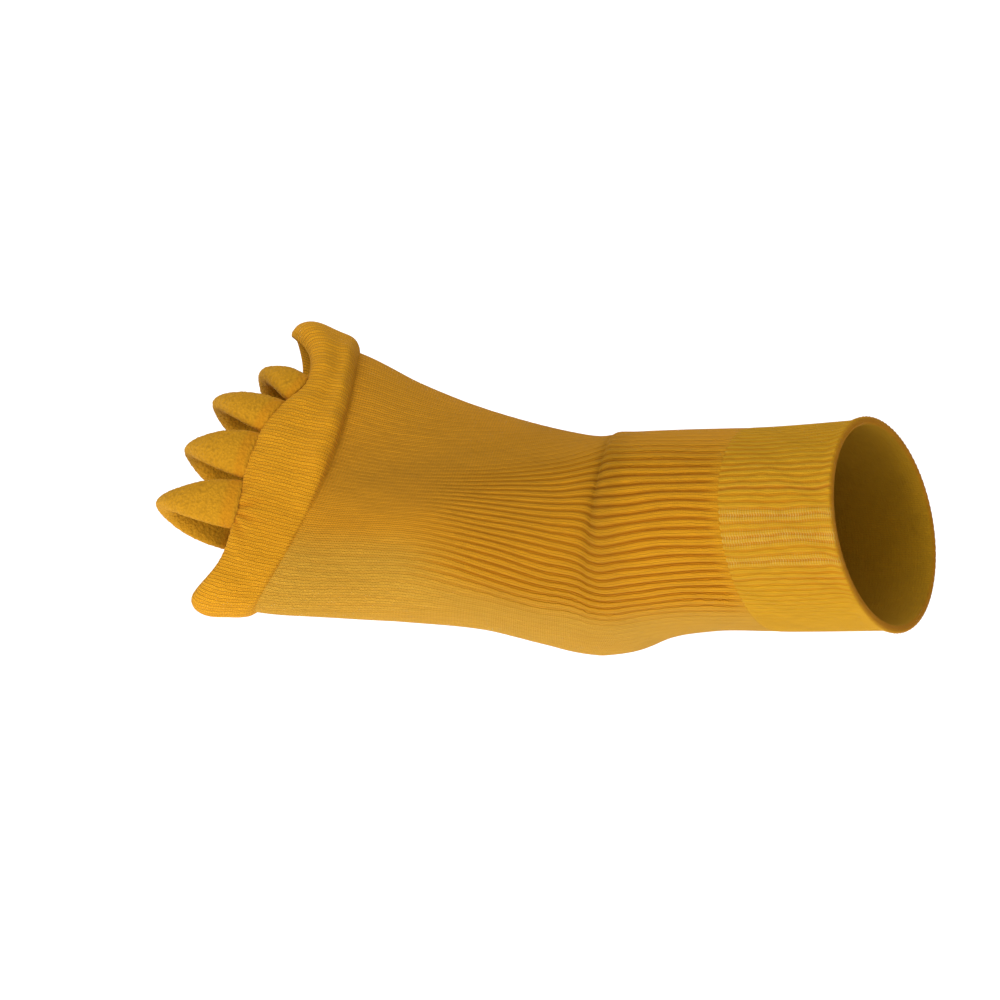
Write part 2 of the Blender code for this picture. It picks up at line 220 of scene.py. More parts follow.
class ToeSockLook(bpy.types.PropertyGroup):
    """Sizes and colours of the sock's knit and of its stage."""

    rib_depth: bpy.props.FloatProperty(
        name="Rib depth", description="Depth of the grooves between the body's ribs",
        default=0.9 * MM, min=0.0, max=3.0 * MM, unit="LENGTH")
    cuff_rib_depth: bpy.props.FloatProperty(
        name="Cuff rib depth", description="Depth of the grooves between the cuff's ribs",
        default=0.45 * MM, min=0.0, max=1.5 * MM, unit="LENGTH")
    band_rib_depth: bpy.props.FloatProperty(
        name="Band rib depth", description="Depth of the grooves between the band's ribs",
        default=0.12 * MM, min=0.0, max=1.5 * MM, unit="LENGTH")
    crease_depth: bpy.props.FloatProperty(
        name="Crease depth", description="Depth of the fold across the front of the ankle",
        default=0.3 * MM, min=0.0, max=4.0 * MM, unit="LENGTH")
    terry_height: bpy.props.FloatProperty(
        name="Terry height", description="Height of the bumps on the toe loops",
        default=0.22 * MM, min=0.0, max=1.5 * MM, unit="LENGTH")
    pad_pressure: bpy.props.FloatProperty(
        name="Pad pressure", description="Pressure that fills the band and the loops",
        default=4.0, min=0.0, max=20.0)
    pad_limit: bpy.props.FloatProperty(
        name="Pad limit", description="How far filling may move the padded cloth",
        default=0.9 * MM, min=0.0, max=5.0 * MM, unit="LENGTH")
    rib_colour: bpy.props.FloatVectorProperty(
        name="Rib colour", description="Yarn on the crests of the ribs",
        default=linear("#D69518"), subtype="COLOR", min=0.0, max=1.0)
    plain_colour: bpy.props.FloatVectorProperty(
        name="Plain colour", description="Yarn of the plain foot, heel and back of the leg",
        default=linear("#E29C22"), subtype="COLOR", min=0.0, max=1.0)
    # Painted sheen: a paler colour laid on the sole and the lower sides in place of light on the
    # fuzz.
    painted_sheen_colour: bpy.props.FloatVectorProperty(
        name="Pale colour", description="Yarn brushed pale on the sides, heel and sole",
        default=linear("#D09C32"), subtype="COLOR", min=0.0, max=1.0)
    # Painted shade: this colour darkens the rib grooves, the cuff's mouth and the band's gathered
    # folds; it also tints random darker patches and the ring near each end of a loop.
    shade_and_mottle_colour: bpy.props.FloatVectorProperty(
        name="Groove colour", description="Yarn deep between the ribs",
        default=linear("#A65E04"), subtype="COLOR", min=0.0, max=1.0)
    cuff_colour: bpy.props.FloatVectorProperty(
        name="Cuff colour", description="Yarn of the leg cuff",
        default=linear("#C8941C"), subtype="COLOR", min=0.0, max=1.0)
    thread_colour: bpy.props.FloatVectorProperty(
        name="Elastic colour", description="Pale elastic threads that show in the cuff",
        default=linear("#D2B25C"), subtype="COLOR", min=0.0, max=1.0)
    band_colour: bpy.props.FloatVectorProperty(
        name="Band colour", description="Yarn of the padded front band",
        default=linear("#D8981C"), subtype="COLOR", min=0.0, max=1.0)
    terry_colour: bpy.props.FloatVectorProperty(
        name="Loop colour", description="Terry of the padded toe loops",
        default=linear("#BC8418"), subtype="COLOR", min=0.0, max=1.0)
    floor_colour: bpy.props.FloatVectorProperty(
        name="Floor colour", description="Plain floor under the sock",
        default=linear("#FAFAFA"), subtype="COLOR", min=0.0, max=1.0)


# Shape

def blend(low, high, share):
    return low + (high - low) * share


def ease(value):
    """Smooth step from 0 to 1."""
    value = np.clip(value, 0.0, 1.0)
    return value * value * (3.0 - 2.0 * value)


def onset(value, step):
    """0 before a step's start, 1 once it has come up."""
    return ease((value - step.start) / step.fade)


def bump(value, centre, half_width):
    """A smooth hill of height 1."""
    return np.exp(-((value - centre) / half_width) ** 2)


def section_row(row, reach, end_half_width, end_half_height, end_slant):
    """One section in real sizes: place, half width, up, down and the rest."""
    return (
        row.along * reach,
        blend(HEEL_HALF_WIDTH, end_half_width, row.spread),
        blend(end_half_height, INSTEP_RISE, row.instep),
        blend(end_half_height, HEEL_DROP, row.heel),
        row.roll * TOE_ROLL,
        row.slant * end_slant,
        blend(-FOOT_RISE, LEG_RISE, row.turn),
        row.side * SIDE_SHIFT,
        row.bow * TOP_BOW,
        row.gather * GATHER,
        row.flat,
    )


def section_table():
    rows = [section_row(row, -FOOT_REACH, BALL_HALF_WIDTH, FRONT_HALF_HEIGHT, FRONT_SLANT)
            for row in FOOT_SECTIONS]
    rows += [section_row(row, LEG_REACH, CUFF_HALF_WIDTH, CUFF_HALF_DEPTH, CUFF_SLANT)
             for row in LEG_SECTIONS]
    return np.array(rows)


def follow(rows, places):
    """Values at places in a table, on a smooth curve through its rows."""
    places = np.atleast_1d(places)
    x, y = rows[:, 0], rows[:, 1:]
    slope = np.gradient(y, x, axis=0)
    row = np.clip(np.searchsorted(x, places, side="right") - 1, 0, len(x) - 2)
    span = (x[row + 1] - x[row])[:, None]
    t = (places - x[row])[:, None] / span
    return ((2 * t ** 3 - 3 * t ** 2 + 1) * y[row]
            + (t ** 3 - 2 * t ** 2 + t) * span * slope[row]
            + (3 * t ** 2 - 2 * t ** 3) * y[row + 1]
            + (t ** 3 - t ** 2) * span * slope[row + 1])


SECTION_TABLE = section_table()
SCALLOP_TABLE = np.array(SCALLOPS)
Girth = namedtuple("Girth", "half_width up down roll slant lean side bow gather flat")


def section(place):
    """The section at a distance from the ankle centre, negative towards the toes."""
    return Girth(*follow(SECTION_TABLE, place)[0])


def axis_point(place):
    rise = math.radians(FOOT_RISE if place < 0 else LEG_RISE)
    return np.array([math.cos(rise) * place, 0.0, math.sin(rise) * abs(place)])


def section_axes(girth):
    """Unit vectors of a section: towards the outer side, up, and along to the leg."""
    lean, roll, slant = np.radians([girth.lean, girth.roll, girth.slant])
    along = np.array([math.cos(lean), 0.0, math.sin(lean)])
    square = np.array([-math.sin(lean), 0.0, math.cos(lean)])
    side = np.array([0.0, 1.0, 0.0])
    outward = (side * math.cos(roll) + square * math.sin(roll)) * math.cos(slant)
    outward += along * math.sin(slant)
    upward = square * math.cos(roll) - side * math.sin(roll)
    return outward, upward, along


def outline(girth):
    """The section's edge from the sole's centre round by the inner side and the top."""
    turn = np.linspace(-0.5, 1.5, OUTLINE_POINTS + 1) * math.pi
    across, height = -np.cos(turn), np.sin(turn)
    power = np.where(height < 0.0, 2.0 / girth.flat, 1.0)
    x = girth.half_width * np.sign(across) * np.abs(across) ** power
    y = np.where(height > 0.0, girth.up, girth.down) * np.sign(height) * np.abs(height) ** power
    run = np.concatenate([[0.0], np.cumsum(np.hypot(np.diff(x), np.diff(y)))])
    return x, y, run


def crowd(wales, girth):
    """Share of the way round at which a wale lies, crowded towards the top."""
    return wales + girth.gather * np.sin(2.0 * math.pi * wales)


def wale_width(wales, girth):
    """Width of a wale against the mean, never above 1."""
    width = 1.0 + 2.0 * math.pi * girth.gather * np.cos(2.0 * math.pi * wales)
    return np.minimum(width, 1.0)


def ring(place, shares, offset=0.0, scallop=0.0):
    """Points round the tube at shares of the way round, each moved outwards."""
    girth = section(place)
    x_edge, y_edge, run = outline(girth)
    shares = np.asarray(shares, dtype=float) % 1.0
    step = 2.0 / OUTLINE_POINTS

    def at(share):
        distance = (share % 1.0) * run[-1]
        return np.interp(distance, run, x_edge), np.interp(distance, run, y_edge)

    x, y = at(shares)
    x_next, y_next = at(shares + step)
    x_last, y_last = at(shares - step)
    length = np.hypot(x_next - x_last, y_next - y_last)
    normal_x, normal_y = (y_last - y_next) / length, (x_next - x_last) / length
    across = np.clip(x / girth.half_width, -1.0, 1.0)
    top = blend(0.5, 1.0, ease(1.0 + y / CORNER_BLEND))
    back = girth.bow * (1.0 - across ** 2) * top
    set_back = follow(SCALLOP_TABLE, (1.0 + across) / 2.0)[:, 0]
    back = back + scallop * BAND_LENGTH * top * set_back
    outward, upward, along = section_axes(girth)
    points = axis_point(place) + np.array([0.0, girth.side, 0.0])
    points = points + np.outer(x + normal_x * offset, outward)
    points = points + np.outer(y + normal_y * offset, upward)
    return points + np.outer(back, along)


def perimeter(place):
    return outline(section(place))[2][-1]


def travel(places):
    """Distance along the top or the sole, whichever is longer, at each place."""
    lines = np.array([ring(place, [0.0, 0.5]) for place in places])
    steps = np.linalg.norm(np.diff(lines, axis=0), axis=2).max(axis=1)
    return np.concatenate([[0.0], np.cumsum(steps)])


def even_places(start, end, strips):
    places = np.linspace(start, end, 240)
    run = travel(places)
    return np.interp(np.linspace(0.0, run[-1], strips + 1), run, places)


def wander(place, wales, seed):
    """Slow unevenness between -1 and 1, the same on every run."""
    along = place / (21.0 * MM)
    return (0.5 * np.sin(2.0 * math.pi * (3.0 * wales + 0.31 * seed) + 1.7 * along)
            + 0.3 * np.sin(2.0 * math.pi * (7.0 * wales + 0.17 * seed) - 2.6 * along)
            + 0.2 * np.sin(2.0 * math.pi * (13.0 * wales) + 4.1 * along + seed))


# Meshes

def coordinates(piece):
    flat = np.empty(len(piece.data.vertices) * 3)
    piece.data.vertices.foreach_get("co", flat)
    return flat.reshape(-1, 3)


def place_vertices(piece, points):
    piece.data.vertices.foreach_set("co", np.asarray(points, dtype=np.float32).ravel())
    piece.data.update()


def select_only(piece):
    bpy.ops.object.select_all(action="DESELECT")
    piece.select_set(True)
    bpy.context.view_layer.objects.active = piece


def wrapped_grid(name, columns, rows):
    """A flat grid to be wrapped, with the column and row of each of its vertices."""
    bpy.ops.object.select_all(action="DESELECT")
    bpy.ops.mesh.primitive_grid_add(x_subdivisions=columns, y_subdivisions=rows, size=2.0)
    piece = bpy.context.object
    piece.name = name
    piece.data.name = name
    flat = coordinates(piece)
    column = np.rint((flat[:, 0] + 1.0) / 2.0 * columns).astype(int)
    row = np.rint((flat[:, 1] + 1.0) / 2.0 * rows).astype(int)
    return piece, column, row


def write_uv(piece, wales, courses):
    """UV map that counts wales across and courses along, one pair for each vertex."""
    layer = piece.data.uv_layers.active
    layer.name = "knit"
    corner = np.empty(len(piece.data.loops), dtype=np.int32)
    piece.data.loops.foreach_get("vertex_index", corner)
    pairs = np.stack([wales[corner], courses[corner]], axis=1)
    layer.data.foreach_set("uv", pairs.astype(np.float32).ravel())


def write_attribute(piece, name, values):
    attribute = piece.data.attributes.new(name, "FLOAT", "POINT")
    attribute.data.foreach_set("value", np.asarray(values, dtype=np.float32))


def close_grid(piece):
    """Merge the edges that meet where the grid was wrapped, and turn its faces out."""
    select_only(piece)
    bpy.ops.object.mode_set(mode="EDIT")
    bpy.ops.mesh.select_all(action="SELECT")
    bpy.ops.mesh.remove_doubles(threshold=0.002 * MM)
    bpy.ops.mesh.normals_make_consistent(inside=False)
    bpy.ops.object.mode_set(mode="OBJECT")
    bpy.ops.object.shade_smooth()


def subdivide(piece, levels):
    select_only(piece)
    smooth = piece.modifiers.new("smooth", "SUBSURF")
    smooth.levels = levels
    smooth.render_levels = levels
    bpy.ops.object.modifier_apply(modifier=smooth.name)


def fill_pad(piece, look, held):
    """Blow the padded cloth up a little by simulation. held is 1 where it stays put."""
    before = coordinates(piece).copy()
    scene = bpy.context.scene
    group = piece.vertex_groups.new(name="held")
    for vertex, weight in enumerate(held):
        group.add([vertex], float(weight), "REPLACE")
    cloth = piece.modifiers.new("fill", "CLOTH")
    cloth.settings.use_pressure = True
    cloth.settings.uniform_pressure_force = look.pad_pressure
    cloth.settings.vertex_group_mass = group.name
    cloth.settings.effector_weights.gravity = 0.0
    cloth.settings.tension_stiffness = 15.0
    cloth.settings.bending_stiffness = 0.3
    cloth.point_cache.frame_start = 1
    cloth.point_cache.frame_end = 20
    for step in range(1, 21):
        scene.frame_set(step)
    graph = bpy.context.evaluated_depsgraph_get()
    filled = piece.evaluated_get(graph).data
    flat = np.empty(len(filled.vertices) * 3)
    filled.vertices.foreach_get("co", flat)
    move = flat.reshape(-1, 3) - before
    piece.modifiers.remove(cloth)
    piece.vertex_groups.remove(group)
    scene.frame_set(1)
    length = np.linalg.norm(move, axis=1)
    keep = np.minimum(1.0, look.pad_limit / np.maximum(length, 1e-9))
    place_vertices(piece, before + move * keep[:, None])


def move_along_normals(piece, distance):
    flat = np.empty(len(piece.data.vertices) * 3)
    piece.data.vertices.foreach_get("normal", flat)
    place_vertices(piece, coordinates(piece) + flat.reshape(-1, 3) * distance[:, None])


def finish_piece(piece, material, slot, *nodes):
    piece.data.materials.clear()
    piece.data.materials.append(material)
    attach(piece, "root")
    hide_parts(*nodes)
    return piece


# Materials

def node(tree, kind, links=None, **settings):
    """Add a node, set it, and link or set its inputs."""
    made = tree.nodes.new(kind)
    for key, value in settings.items():
        setattr(made, key, value)
    for socket, value in (links or {}).items():
        if isinstance(value, bpy.types.NodeSocket):
            tree.links.new(value, made.inputs[socket])
        else:
            made.inputs[socket].default_value = value
    return made


def maths(tree, operation, *values):
    made = node(tree, "ShaderNodeMath", dict(enumerate(values)), operation=operation)
    return made.outputs[0]


def mix(tree, share, low, high):
    """Mix two colours."""
    colours = {0: share, 6: low, 7: high}
    return node(tree, "ShaderNodeMix", colours, data_type="RGBA").outputs[2]


def rgba(colour, gain=1.0):
    return tuple(min(1.0, c * gain) for c in colour) + (1.0,)


def empty_material(name):
    material = bpy.data.materials.new(name)
    material.use_nodes = True
    material.node_tree.nodes.clear()
    return material, material.node_tree


def attribute(tree, name):
    return node(tree, "ShaderNodeAttribute", attribute_name=name).outputs["Fac"]


def fine_noise(tree, scale, detail=3.0):
    """Noise on Object coordinates, with scale in features per metre."""
    place = node(tree, "ShaderNodeTexCoord").outputs["Object"]
    made = node(tree, "ShaderNodeTexNoise", {"Vector": place, "Scale": scale, "Detail": detail})
    return made.outputs["Fac"]


def stitches(tree, lean):
    """Height of V stitches from 0 to 1, from a UV map that counts wales and courses."""
    uv = node(tree, "ShaderNodeUVMap", uv_map="knit").outputs[0]
    parts = node(tree, "ShaderNodeSeparateXYZ", {0: uv})
    sway = maths(tree, "MULTIPLY_ADD", fine_noise(tree, 320.0, 1.0), 0.9, parts.outputs[0])
    across = maths(tree, "FRACT", sway)
    across = maths(tree, "ABSOLUTE", maths(tree, "SUBTRACT", across, 0.5))
    leg = maths(tree, "MULTIPLY", maths(tree, "SUBTRACT", across, 0.2), 3.3)
    leg = maths(tree, "SUBTRACT", 1.0, maths(tree, "MULTIPLY", leg, leg))
    course = maths(tree, "MULTIPLY_ADD", across, lean, parts.outputs[1])
    strand = maths(tree, "SINE", maths(tree, "MULTIPLY", maths(tree, "FRACT", course), math.pi))
    strand = maths(tree, "MULTIPLY_ADD", strand, 0.5, 0.5)
    return maths(tree, "MULTIPLY", leg, strand)


def fabric(tree, colour, height, distance, sheen):
    """Matt yarn with a bump and a soft bloom at its edges."""
    normal = node(tree, "ShaderNodeBump", {"Height": height, "Strength": 1.0, "Distance": distance})
    shader = node(tree, "ShaderNodeBsdfPrincipled", {
        "Base Color": colour, "Roughness": 0.95, "Specular IOR Level": 0.08,
        "Sheen Weight": sheen, "Sheen Roughness": 0.5, "Sheen Tint": (1.0, 0.68, 0.20, 1.0),
        "Normal": normal.outputs[0]})
    node(tree, "ShaderNodeOutputMaterial", {"Surface": shader.outputs[0]})


def ribbed_cotton(look):
    """Thick cotton knitted in ribs: V stitches over deep grooves, with painted highlight on the
    stitches' crests and painted shade between them and in the grooves.
    """
    material, tree = empty_material("ribbed_cotton_knit")
    height = stitches(tree, 1.3)
    groove = attribute(tree, "groove")
    fuzz = fine_noise(tree, 1400.0)
    patch = fine_noise(tree, 45.0)
    # Painted highlight and shade: each yarn is a lit and a shaded copy of one colour, mixed by
    # stitch height.
    ribbed = mix(tree, height, rgba(look.rib_colour, 0.72), rgba(look.rib_colour, 1.1))
    plain = mix(tree, height, rgba(look.plain_colour, 0.44), rgba(look.plain_colour, 1.2))
    pale = mix(tree, height, rgba(look.painted_sheen_colour, 0.72), rgba(look.painted_sheen_colour, 1.08))
    # Painted sheen: the sole and the lower sides take the paler colour.
    plain = mix(tree, attribute(tree, "painted_sheen"), plain, pale)
    yarn = mix(tree, attribute(tree, "zone"), plain, ribbed)
    # Painted shade: the rib grooves are darkened.
    yarn = mix(tree, maths(tree, "MULTIPLY", groove, 0.85), yarn, rgba(look.shade_and_mottle_colour))
    yarn = mix(tree, maths(tree, "MULTIPLY", patch, 0.2), yarn, rgba(look.shade_and_mottle_colour, 1.2))
    rough = maths(tree, "MULTIPLY_ADD", fuzz, 0.5, height)
    fabric(tree, yarn, rough, 0.5 * MM, 0.1)
    return material


def elastic_cuff(look):
    """Fine rib knit with rubber in it, its pale elastic threads bare where it is stretched."""
    material, tree = empty_material("elastic_cuff_knit")
    height = stitches(tree, 1.2)
    groove = attribute(tree, "groove")
    bare = attribute(tree, "zone")
    uv = node(tree, "ShaderNodeUVMap", uv_map="knit").outputs[0]
    courses = node(tree, "ShaderNodeSeparateXYZ", {0: uv}).outputs[1]
    rung = maths(tree, "SINE", maths(tree, "MULTIPLY", courses, math.pi))
    rung = maths(tree, "POWER", maths(tree, "ABSOLUTE", rung), 3.0)
    fuzz = fine_noise(tree, 1500.0)
    patch = fine_noise(tree, 60.0)
    # Painted highlight and shade: a lit and a shaded copy of the cuff colour, mixed by stitch
    # height.
    yarn = mix(tree, height, rgba(look.cuff_colour, 0.80), rgba(look.cuff_colour, 1.08))
    # Painted shade: the rib grooves and the cuff's mouth are darkened.
    yarn = mix(tree, maths(tree, "MULTIPLY", groove, 0.8), yarn, rgba(look.shade_and_mottle_colour, 1.3))
    yarn = mix(tree, maths(tree, "MULTIPLY", patch, 0.15), yarn, rgba(look.rib_colour, 0.9))
    torn = maths(tree, "MULTIPLY_ADD", fine_noise(tree, 420.0), 1.5, -0.15)
    bare = maths(tree, "MULTIPLY", maths(tree, "MULTIPLY", bare, rung), torn)
    yarn = mix(tree, bare, yarn, rgba(look.thread_colour))
    rough = maths(tree, "MULTIPLY_ADD", fuzz, 0.5, height)
    fabric(tree, yarn, rough, 0.3 * MM, 0.1)
    return material


def band_knit(look):
    """Fine plain knit drawn over padding, its wales running towards the toes."""
    material, tree = empty_material("padded_band_knit")
    height = stitches(tree, 1.2)
    fold = attribute(tree, "fold")
    fuzz = fine_noise(tree, 1500.0)
    patch = fine_noise(tree, 55.0)
    # Painted highlight and shade: a lit and a shaded copy of the band colour, mixed by stitch
    # height.
    yarn = mix(tree, height, rgba(look.band_colour, 0.55), rgba(look.band_colour, 1.25))
    yarn = mix(tree, maths(tree, "MULTIPLY", patch, 0.2), yarn, rgba(look.shade_and_mottle_colour, 1.3))
    # Painted shade: the gathered folds and the rib grooves are darkened.
    yarn = mix(tree, fold, yarn, rgba(look.shade_and_mottle_colour, 1.1))
    yarn = mix(tree, maths(tree, "MULTIPLY", attribute(tree, "groove"), 0.22), yarn,
               rgba(look.shade_and_mottle_colour, 1.2))
    rough = maths(tree, "MULTIPLY_ADD", fuzz, 0.45, height)
    fabric(tree, yarn, rough, 0.4 * MM, 0.15)
    return material


def soft_terry(look):
    """Brushed terry over padding, its short loops painted lighter as highlight and the gaps between
    them painted darker as shade.
    """
    material, tree = empty_material("soft_terry")
    place = node(tree, "ShaderNodeTexCoord").outputs["Object"]
    cells = node(tree, "ShaderNodeTexVoronoi", {"Vector": place, "Scale": 1100.0},
                 feature="SMOOTH_F1")
    pile = maths(tree, "SUBTRACT", 1.0, cells.outputs["Distance"])
    fuzz = fine_noise(tree, 2200.0)
    patch = fine_noise(tree, 120.0)
    end_ring = attribute(tree, "end_ring")
    # Painted highlight and shade: a lit and a shaded copy of the terry colour, mixed by the pile's
    # bumps.
    yarn = mix(tree, pile, rgba(look.terry_colour, 0.62), rgba(look.terry_colour, 1.15))
    yarn = mix(tree, maths(tree, "MULTIPLY", patch, 0.2), yarn, rgba(look.band_colour, 0.85))
    # Darker ring near each end of a loop, where it goes into the band.
    yarn = mix(tree, end_ring, yarn, rgba(look.shade_and_mottle_colour, 1.4))
    rough = maths(tree, "MULTIPLY_ADD", fuzz, 0.5, pile)
    fabric(tree, yarn, rough, 0.45 * MM, 0.2)
    return material


# Pieces

def rib_mask(place, wales):
    """1 on the ribbed panel over the instep and the leg's front, 0 on the plain knit."""
    panel = onset(wales, RIBS_FROM_INNER_SIDE) * onset(-wales, RIBS_FROM_TOP)
    return panel * onset(place / FOOT_REACH, RIBS_ON_FOREFOOT)


def crease(place, wales):
    """Short fold across the front of the ankle."""
    from_fold = (place - CREASE_PLACE * LEG_REACH) / CREASE_HALF_LENGTH
    from_middle = (wales - CREASE_SHARE) / CREASE_HALF_SHARE
    return np.exp(-from_fold ** 2 - from_middle ** 2)


Row = namedtuple("Row", "place depth relief lip")


def tube_rows(places, wall, lip_start, lip_end):
    """Rows once round a tube's wall: outside, over one lip, inside, over the other."""
    half = wall / 2.0
    turns = np.linspace(0.0, math.pi, 7)[1:-1]
    rows = [Row(place, 0.0, 1.0, 0.0) for place in places]
    rows += [Row(places[-1] + lip_end * math.sin(turn), half * (math.cos(turn) - 1.0),
                 max(0.0, math.cos(turn)), math.sin(turn)) for turn in turns]
    rows += [Row(place, -wall, 0.0, 0.0) for place in places[::-5]]
    rows += [Row(places[0] - lip_start * math.sin(turn), -half * (math.cos(turn) + 1.0),
                 max(0.0, -math.cos(turn)), 0.0) for turn in turns]
    return rows + rows[:1]


def knit_tube(name, places, lips, count, columns_each, relief_at, look):
    """A knitted tube. relief_at gives its wales' shift, offset, groove and zone."""
    rows = tube_rows(places, KNIT_WALL, *lips[:2])
    columns = count * columns_each
    piece, column, row = wrapped_grid(name, columns, len(rows) - 1)
    wales = np.arange(columns) / columns
    phase = (np.arange(columns) % columns_each) / columns_each
    points = np.empty((len(rows), columns, 3))
    grooves = np.empty((len(rows), columns))
    zones = np.empty((len(rows), columns))
    # Painted sheen: 1 on the top, 0 on the sole and the lower sides, which are painted paler.
    sheen_free = onset(wales, PAINTED_SHEEN_FROM_INNER_SIDE) * onset(-wales, PAINTED_SHEEN_FROM_OUTER_SIDE)
    for k, line in enumerate(rows):
        shift, offset, groove, zone = relief_at(line.place, wales, phase, look)
        shares = crowd(wales + shift, section(line.place))
        points[k] = ring(line.place, shares, line.depth + offset * line.relief)
        # The groove weight is painted as shade by the materials, and the cuff's mouth gets painted
        # shade through LIP_SHADE.
        grooves[k] = np.maximum(groove * line.relief, lips[2] * line.lip)
        zones[k] = zone * line.relief
    steps = np.linalg.norm(np.diff(points[:, ::columns // 8], axis=0), axis=2).max(axis=1)
    along = np.concatenate([[0.0], np.cumsum(steps)])
    place_vertices(piece, points[row, column % columns])
    write_uv(piece, column * WALES_PER_RIB / columns_each, along[row] / COURSE)
    write_attribute(piece, "groove", grooves[row, column % columns])
    write_attribute(piece, "zone", zones[row, column % columns])
    write_attribute(piece, "painted_sheen", 1.0 - sheen_free[column % columns])
    close_grid(piece)
    return piece


def body_relief(place, wales, phase, look):
    """Ribs of the body: wide crests, narrow grooves, uneven by hand's breadth."""
    girth = section(place)
    mask = rib_mask(place, wales) * wale_width(wales, girth)
    shift = 0.18 * wander(place, wales, 1.0) / RIB_COUNT
    depth = look.rib_depth * (1.0 + 0.25 * wander(place, wales, 2.0))
    near_cuff = ease((place - (LEG_REACH - CUFF_LENGTH) + 6.0 * MM) / (6.0 * MM))
    groove = (0.5 + 0.5 * np.cos(2.0 * math.pi * phase)) ** 3 * (1.0 - 0.65 * near_cuff)
    plain = 0.12 * (0.5 + 0.5 * np.cos(2.0 * math.pi * phase))
    offset = -depth * (groove * mask) - look.rib_depth * plain * (1.0 - mask)
    offset += BRIDGE_HEIGHT * (bump(place, BRIDGE_PLACE, BRIDGE_HALF_LENGTH)
                               * bump(wales, BRIDGE_SHARE, BRIDGE_HALF_SHARE))
    offset -= look.crease_depth * crease(place, wales)
    offset -= 0.1 * MM * near_cuff
    # The groove weight returned is painted as shade, faintly on the plain knit too.
    return shift, offset, groove * blend(0.16, 1.0, mask), mask


def cuff_relief(place, wales, phase, look):
    """Fine ribs of the cuff, opened in ladders where the elastic is stretched."""
    from_edge = (place - LEG_REACH + CUFF_FLARE_LENGTH) / CUFF_FLARE_LENGTH
    from_joint = (place - LEG_REACH + CUFF_LENGTH) / (2.5 * MM)
    shift = 0.35 * wander(place, wales, 3.0) / CUFF_RIB_COUNT
    shift += 0.12 * wander(4.0 * place, 5.0 * wales, 5.0) / CUFF_RIB_COUNT
    deep = np.zeros_like(wales)
    bare = np.zeros_like(wales)
    for ladder in LADDERS:
        hill = bump(wales, ladder.share, ladder.half_width)
        deep += ladder.depth * hill
        bare += ladder.thread * hill
    groove = (0.5 + 0.5 * np.cos(2.0 * math.pi * phase)) ** 2
    panel = onset(wales, CUFF_RIBS_FROM_INNER_SIDE)
    depth = look.cuff_rib_depth * (1.0 + 1.2 * deep + 0.3 * wander(place, wales, 4.0))
    depth *= blend(0.3, 1.0, panel)
    offset = CUFF_FLARE * ease(from_edge) - depth * groove
    offset -= 0.1 * MM * (1.0 - ease(from_joint))
    groove = groove * (0.6 + 0.25 * wander(place, wales, 6.0) + deep) * blend(0.3, 1.0, panel)
    return shift, offset, np.clip(groove, 0.0, 1.0), np.clip(bare, 0.0, 1.0)


def swell(shares, back):
    """How far the band swells outwards at a share of its length back from the edge."""
    height, dome = follow(np.array(SWELLS), shares).T
    hump = math.sqrt(max(0.0, 1.0 - (2.0 * max(back, 0.0) ** DOME_SKEW - 1.0) ** 2))
    return BAND_SWELL_OUT * height * blend(1.0, hump, dome)


def round_curve(points, count):
    """A closed smooth curve through points, at count places evenly spaced by row."""
    points = np.asarray(points, dtype=float)
    at = np.linspace(0.0, len(points), count, endpoint=False)
    row = np.floor(at).astype(int)
    t = (at - row)[:, None]
    before, this, after, beyond = (points[(row + k) % len(points)] for k in (-1, 0, 1, 2))
    return 0.5 * (2.0 * this + (after - before) * t
                  + (2.0 * before - 5.0 * this + 4.0 * after - beyond) * t ** 2
                  + (3.0 * this - before - 3.0 * after + beyond) * t ** 3)


def band_folds(shares, back):
    """Outward relief of the band, and how deep its folds are from 0 to 1, which the band's knit
    paints as shade.
    """
    ridge = 1.9 * MM * bump(back, 0.80, 0.15) * ease((shares - 0.45) / 0.08)
    ridge *= 1.0 - ease((shares - 0.68) / 0.06)
    x = (shares - 0.404) * perimeter(-FOOT_REACH)
    y = (back + 0.1) * BAND_LENGTH
    reach = np.hypot(x, y)
    rays = np.cos(9.0 * np.arctan2(y, x))
    gather = np.exp(-(reach / (10.0 * MM)) ** 2) * (1.0 - np.exp(-(reach / (2.5 * MM)) ** 2))
    soft = 0.25 * MM * np.sin(2.0 * math.pi * (17.0 * shares + 0.7 * back))
    soft += 0.15 * MM * np.sin(2.0 * math.pi * (31.0 * shares - 0.5 * back))
    return ridge + 0.8 * MM * gather * rays + soft, 0.7 * gather * (0.5 - 0.5 * rays)


def band_thinning(shares, back):
    """Share of the padding that is left, less towards the back on the instep's inner side."""
    beside = ease((shares - 0.22) / 0.06) * (1.0 - ease((shares - 0.42) / 0.07))
    return 1.0 - 0.6 * beside * onset(back, BAND_THIN_TOWARDS_BACK)


